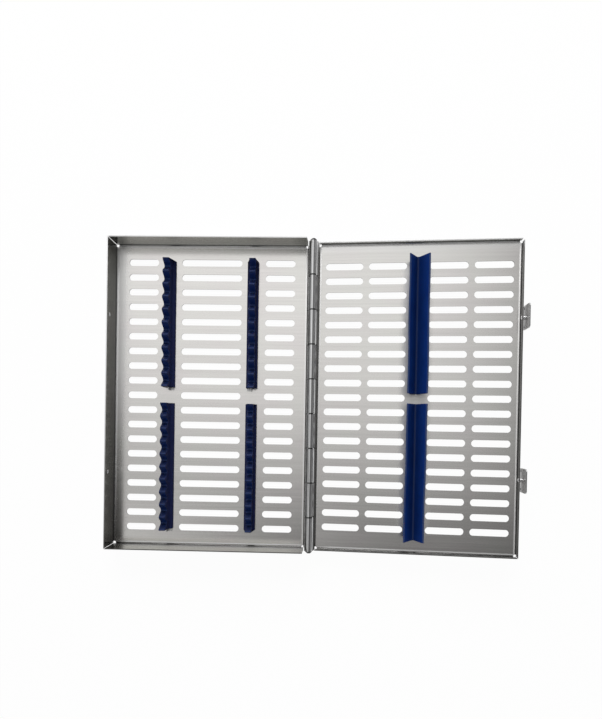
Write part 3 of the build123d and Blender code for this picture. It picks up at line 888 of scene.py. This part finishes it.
# --- hold-down bars -------------------------------------------------------------------
def lid_point(from_axis, y, above_floor):
    """A point given in the open lid's own frame, above the lid's floor."""
    height = above_floor - LID_FLOOR_BELOW_AXIS
    return Vector((HINGE.x + from_axis * cos(LID_TILT) - height * sin(LID_TILT), y,
                   HINGE.z + from_axis * sin(LID_TILT) + height * cos(LID_TILT)))


def bar_section():
    """Section of a hold-down bar: a stem with a pocket and two wings that form a V."""
    corners = underside(BAR_HALF_STEM, BAR_POCKET_HEIGHT, BAR_POCKET_FOOT)
    corners += [(BAR_HALF_STEM, BAR_SHOULDER, SHOULDER_ROUNDING),
                (BAR_HALF_SPAN, BAR_HEIGHT, TIP_ROUNDING),
                (BAR_HALF_SPAN - BAR_TIP, BAR_HEIGHT, TIP_ROUNDING),
                (0, BAR_VALLEY, VALLEY_ROUNDING),
                (-BAR_HALF_SPAN + BAR_TIP, BAR_HEIGHT, TIP_ROUNDING),
                (-BAR_HALF_SPAN, BAR_HEIGHT, TIP_ROUNDING),
                (-BAR_HALF_STEM, BAR_SHOULDER, SHOULDER_ROUNDING)]
    return rounded(corners, BAR_ROUND_STEPS)


def holddown_bar(end):
    """A V-shaped bar of silicone, slightly wavy, pushed on to its bracket in the lid."""
    node_name = f"holddown_bar_{end}"
    low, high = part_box(node_name)
    phase = random.Random(node_name).uniform(0, 2 * pi)
    section = bar_section()
    edge = BAR_CHAMFER
    stations = [(low.y, edge), (low.y + edge, 0.0)]
    stations += [(low.y + edge + (high.y - low.y - 2 * edge) * k / BAR_STEPS, 0.0)
                 for k in range(1, BAR_STEPS)]
    stations += [(high.y - edge, 0.0), (high.y, edge)]
    rings = []
    for y, shrink in stations:
        share = (y - low.y) / (high.y - low.y)
        width = 1 - BAR_PINCH * sin(BAR_PINCHES * share + phase) ** 2
        sway = BAR_SWAY * sin(2 * pi * share * BAR_SWAYS + phase)
        sway += BAR_LEAN[end][0] * (1 - share) + BAR_LEAN[end][1] * share
        outline = inset(section, shrink) if shrink else section
        rings.append([lid_point(BAR_FROM_AXIS + x * width + sway * z / BAR_HEIGHT, y, z)
                      for x, z in outline])
    bar = loft(f"holddown_{end}", rings, bar_silicone)
    stand_in(bar, "lid", node_name)


for end_name in ENDS:
    for side_name in SIDES:
        instrument_rail(end_name, side_name)
    holddown_bar(end_name)


# --- rivets and catch studs -----------------------------------------------------------
def mirrored(points):
    """The outline (along, radius) reversed, and its distances along the axis negated."""
    return [(-along, radius) for along, radius in reversed(points)]


def latch_rivet(end):
    """A shouldered rivet, with a domed head outside and a domed tail inside the lid."""
    node_name = f"latch_rivet_{end}"
    low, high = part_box(node_name)
    out = (cos(LID_TILT), 0.0, sin(LID_TILT))
    origin = lid_point(LID_WALL_FROM_AXIS, (low.y + high.y) / 2,
                       LID_FLOOR_BELOW_AXIS - LATCH_BELOW_AXIS)
    shoulder = LATCH_STANDOFF - FIT
    head = LATCH_STANDOFF + LATCH_SHEET + FIT
    outline = mirrored(dome(SHEET, *RIVET_TAIL))
    outline += [(-SHEET, RIVET_RADIUS), (0.0, RIVET_RADIUS), (0.0, RIVET_SHOULDER),
                (shoulder, RIVET_SHOULDER), (shoulder, RIVET_RADIUS), (head, RIVET_RADIUS)]
    outline += dome(head, *RIVET_HEAD)
    rivet = turned(f"rivet_{end}", origin, out, outline, rivet_steel)
    stand_in(rivet, "lid", node_name)


def catch_stud(end):
    """A stud riveted through the base's wall; its round-ended tip enters a latch's hole."""
    node_name = f"catch_stud_{end}"
    low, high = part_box(node_name)
    origin = (high.x - SHEET - STUD_HEAD[1], (low.y + high.y) / 2, (low.z + high.z) / 2)
    tip_radius, tip_height = STUD_TIP
    outline = mirrored(dome(SHEET, *STUD_HEAD))
    outline += [(-SHEET, STUD_RADIUS), (0.0, STUD_RADIUS), (0.0, tip_radius)]
    outline += dome(tip_height - STUD_TIP_DOME, tip_radius, STUD_TIP_DOME)
    stud = turned(f"stud_{end}", origin, (-1.0, 0.0, 0.0), outline, rivet_steel)
    stand_in(stud, "base", node_name)


for end_name in ENDS:
    latch_rivet(end_name)
    catch_stud(end_name)


# --- floor, world, lamp and camera ----------------------------------------------------
def white_floor():
    """A pale floor, white to the camera and in reflections, that keeps the object's shadow."""
    data = bpy.data.meshes.new("floor")
    corners = ((-1, -1), (1, -1), (1, 1), (-1, 1))
    data.from_pydata([(x * FLOOR_HALF, y * FLOOR_HALF, -FLOOR_BELOW) for x, y in corners], [],
                     [(0, 1, 2, 3)])
    material = bpy.data.materials.new("floor")
    material.use_nodes = True
    tree = material.node_tree
    tree.nodes.clear()
    path = add_node(tree, "ShaderNodeLightPath").outputs
    plain = add_node(tree, "ShaderNodeBsdfDiffuse", {"Color": (*grey(FLOOR_LEVEL), 1.0)})
    glow = add_node(tree, "ShaderNodeEmission", {"Color": (1.0, 1.0, 1.0, 1.0), "Strength": 1.0})
    seen = calc(tree, "ADD", path["Is Camera Ray"], path["Is Glossy Ray"])
    shown = calc(tree, "ADD", seen, path["Is Transmission Ray"], clamp=True)
    mix = add_node(tree, "ShaderNodeMixShader")
    output = add_node(tree, "ShaderNodeOutputMaterial")
    link(tree, (product(tree, shown, FLOOR_WHITE), mix.inputs["Fac"]),
         (plain.outputs[0], mix.inputs[1]), (glow.outputs[0], mix.inputs[2]),
         (mix.outputs[0], output.inputs["Surface"]))
    data.materials.append(material)
    floor = bpy.data.objects.new("floor", data)
    bpy.context.scene.collection.objects.link(floor)


def studio_world():
    """A broad soft light overhead in a dim room, with a pale horizon all round."""
    world = bpy.data.worlds.new("studio")
    bpy.context.scene.world = world
    world.use_nodes = True
    tree = world.node_tree
    tree.nodes.clear()
    place = add_node(tree, "ShaderNodeTexCoord")
    split = add_node(tree, "ShaderNodeSeparateXYZ")
    link(tree, (place.outputs["Generated"], split.inputs["Vector"]))
    toward = split.outputs

    def light_along(axis, levels):
        return ramp(tree, spread(tree, toward[axis], 0.0, 1.0, -1.0, 1.0),
                    [((value + 1) / 2, grey(level)) for value, level in levels])

    room = tinted(tree, light_along("Y", LIGHT_ALONG_Y), light_along("X", LIGHT_ALONG_X))
    corner = product(tree, falling(tree, toward["X"], CORNER_LIGHT_X),
                     falling(tree, toward["Y"], CORNER_LIGHT_REAR),
                     rising(tree, toward["Y"], CORNER_LIGHT_FRONT))
    room = tinted(tree, room, spread(tree, corner, 1.0, CORNER_LIGHT))
    room = blended(tree, 1.0, room, grey(ROOM_LEVEL), "LIGHTEN")
    room = blended(tree, falling(tree, toward["Z"], HORIZON), room, grey(HORIZON_LEVEL))
    background = add_node(tree, "ShaderNodeBackground", {"Strength": 1.0})
    output = add_node(tree, "ShaderNodeOutputWorld")
    link(tree, (room, background.inputs["Color"]),
         (background.outputs[0], output.inputs["Surface"]))


def window_lamp():
    """A soft lamp far behind the object."""
    data = bpy.data.lights.new("window", "AREA")
    data.shape = "SQUARE"
    data.size = WINDOW_SIZE
    data.energy = WINDOW_POWER
    lamp = bpy.data.objects.new("window", data)
    lamp.location = WINDOW_PLACE
    toward = Vector(WINDOW_AIM) - Vector(WINDOW_PLACE)
    lamp.rotation_euler = toward.to_track_quat("-Z", "Y").to_euler()
    bpy.context.scene.collection.objects.link(lamp)


def photo_camera():
    """Almost straight above the hinge, a little in front of the middle."""
    data = bpy.data.cameras.new("camera")
    data.sensor_width = CAMERA_SENSOR
    data.lens = CAMERA_LENS
    data.shift_y = CAMERA_SHIFT
    camera = bpy.data.objects.new("camera", data)
    camera.location = CAMERA_PLACE
    camera.rotation_euler = CAMERA_TURN
    bpy.context.scene.collection.objects.link(camera)
    bpy.context.scene.camera = camera


white_floor()
studio_world()
window_lamp()
photo_camera()
bpy.context.scene.view_settings.view_transform = "Standard"
